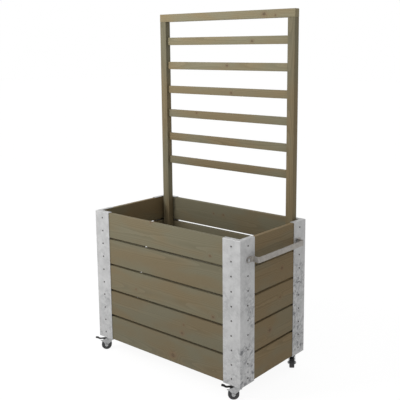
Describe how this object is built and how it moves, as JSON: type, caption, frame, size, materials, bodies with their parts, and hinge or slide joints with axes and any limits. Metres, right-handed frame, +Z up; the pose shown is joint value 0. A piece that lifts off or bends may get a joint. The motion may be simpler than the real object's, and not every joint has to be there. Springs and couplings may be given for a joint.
{
  "type": "rolling planter with trellis",
  "caption": "Rolling planter box of spaced boards in folded galvanised steel corners, with a slatted trellis inside the back wall, an end pull handle and braked swivel castors.",
  "frame": {"origin": "on the floor, under the middle of the planter box", "axes": "+Z up, +X towards the end with the pull handle, +Y towards the trellis at the back, -Y out of the long front wall"},
  "size_m": [0.9778, 0.5239, 1.67],
  "materials": {
    "stained_wood": "grey-brown stain, matte",
    "galvanised_steel": "hot-dip galvanised, mottled",
    "zinc_plate": "bright zinc plate",
    "black_plastic": "moulded, matte",
    "grey_rubber": "grey, matte"
  },
  "bodies": {
    "planter_box": {"front_board_1": "stained_wood", "front_board_2": "stained_wood", "front_board_3": "stained_wood", "front_board_4": "stained_wood", "front_board_5": "stained_wood", "back_board_1": "stained_wood", "back_board_2": "stained_wood", "back_board_3": "stained_wood", "back_board_4": "stained_wood", "back_board_5": "stained_wood", "left_board_1": "stained_wood", "left_board_2": "stained_wood", "left_board_3": "stained_wood", "left_board_4": "stained_wood", "left_board_5": "stained_wood", "right_board_1": "stained_wood", "right_board_2": "stained_wood", "right_board_3": "stained_wood", "right_board_4": "stained_wood", "right_board_5": "stained_wood", "floor_bearer_left": "stained_wood", "floor_bearer_right": "stained_wood", "floor_board_1": "stained_wood", "floor_board_2": "stained_wood", "floor_board_3": "stained_wood", "floor_board_4": "stained_wood", "corner_front_left": "galvanised_steel", "corner_front_right": "galvanised_steel", "corner_back_right": "galvanised_steel", "corner_back_left": "galvanised_steel", "trellis_post_left": "stained_wood", "trellis_post_right": "stained_wood", "trellis_top_rail": "stained_wood", "trellis_slat_1": "stained_wood", "trellis_slat_2": "stained_wood", "trellis_slat_3": "stained_wood", "trellis_slat_4": "stained_wood", "trellis_slat_5": "stained_wood", "trellis_slat_6": "stained_wood", "pull_handle": "galvanised_steel", "front_left_castor_plate": "zinc_plate", "front_right_castor_plate": "zinc_plate", "back_right_castor_plate": "zinc_plate", "back_left_castor_plate": "zinc_plate"},
    "front_left_castor": {"front_left_castor_fork": "zinc_plate", "front_left_castor_axle": "zinc_plate"},
    "front_left_wheel": {"front_left_castor_wheel": "grey_rubber"},
    "front_left_pedal": {"front_left_brake_pedal": "black_plastic"},
    "front_right_castor": {"front_right_castor_fork": "zinc_plate", "front_right_castor_axle": "zinc_plate"},
    "front_right_wheel": {"front_right_castor_wheel": "grey_rubber"},
    "front_right_pedal": {"front_right_brake_pedal": "black_plastic"},
    "back_right_castor": {"back_right_castor_fork": "zinc_plate", "back_right_castor_axle": "zinc_plate"},
    "back_right_wheel": {"back_right_castor_wheel": "grey_rubber"},
    "back_right_pedal": {"back_right_brake_pedal": "black_plastic"},
    "back_left_castor": {"back_left_castor_fork": "zinc_plate", "back_left_castor_axle": "zinc_plate"},
    "back_left_wheel": {"back_left_castor_wheel": "grey_rubber"},
    "back_left_pedal": {"back_left_brake_pedal": "black_plastic"}
  },
  "joints": [
    {"name": "front_left_swivel", "type": "hinge", "parent": "planter_box", "child": "front_left_castor", "pos_m": [-0.412, -0.204, 0.06], "axis": [0, 0, 1], "continuous": true},
    {"name": "front_left_roll", "type": "hinge", "parent": "front_left_castor", "child": "front_left_wheel", "pos_m": [-0.42798, -0.22054, 0.025], "axis": [-0.7193, 0.6947, 0], "continuous": true},
    {"name": "front_left_brake", "type": "hinge", "parent": "front_left_castor", "child": "front_left_pedal", "pos_m": [-0.42381, -0.21623, 0.0542], "axis": [0.7193, -0.6947, 0], "range_deg": [0, 6]},
    {"name": "front_right_swivel", "type": "hinge", "parent": "planter_box", "child": "front_right_castor", "pos_m": [0.412, -0.204, 0.06], "axis": [0, 0, 1], "continuous": true},
    {"name": "front_right_roll", "type": "hinge", "parent": "front_right_castor", "child": "front_right_wheel", "pos_m": [0.39388, -0.21816, 0.025], "axis": [-0.6157, 0.788, 0], "continuous": true},
    {"name": "front_right_brake", "type": "hinge", "parent": "front_right_castor", "child": "front_right_pedal", "pos_m": [0.3986, -0.21447, 0.0542], "axis": [0.6157, -0.788, 0], "range_deg": [0, 6]},
    {"name": "back_right_swivel", "type": "hinge", "parent": "planter_box", "child": "back_right_castor", "pos_m": [0.412, 0.204, 0.06], "axis": [0, 0, 1], "continuous": true},
    {"name": "back_right_roll", "type": "hinge", "parent": "back_right_castor", "child": "back_right_wheel", "pos_m": [0.42486, 0.18493, 0.025], "axis": [-0.829, -0.5592, 0], "continuous": true},
    {"name": "back_right_brake", "type": "hinge", "parent": "back_right_castor", "child": "back_right_pedal", "pos_m": [0.42151, 0.18991, 0.0542], "axis": [0.829, 0.5592, 0], "range_deg": [0, 6]},
    {"name": "back_left_swivel", "type": "hinge", "parent": "planter_box", "child": "back_left_castor", "pos_m": [-0.412, 0.204, 0.06], "axis": [0, 0, 1], "continuous": true},
    {"name": "back_left_roll", "type": "hinge", "parent": "back_left_castor", "child": "back_left_wheel", "pos_m": [-0.43192, 0.2155, 0.025], "axis": [0.5, 0.866, 0], "continuous": true},
    {"name": "back_left_brake", "type": "hinge", "parent": "back_left_castor", "child": "back_left_pedal", "pos_m": [-0.42672, 0.2125, 0.0542], "axis": [-0.5, -0.866, 0], "range_deg": [0, 6]}
  ]
}
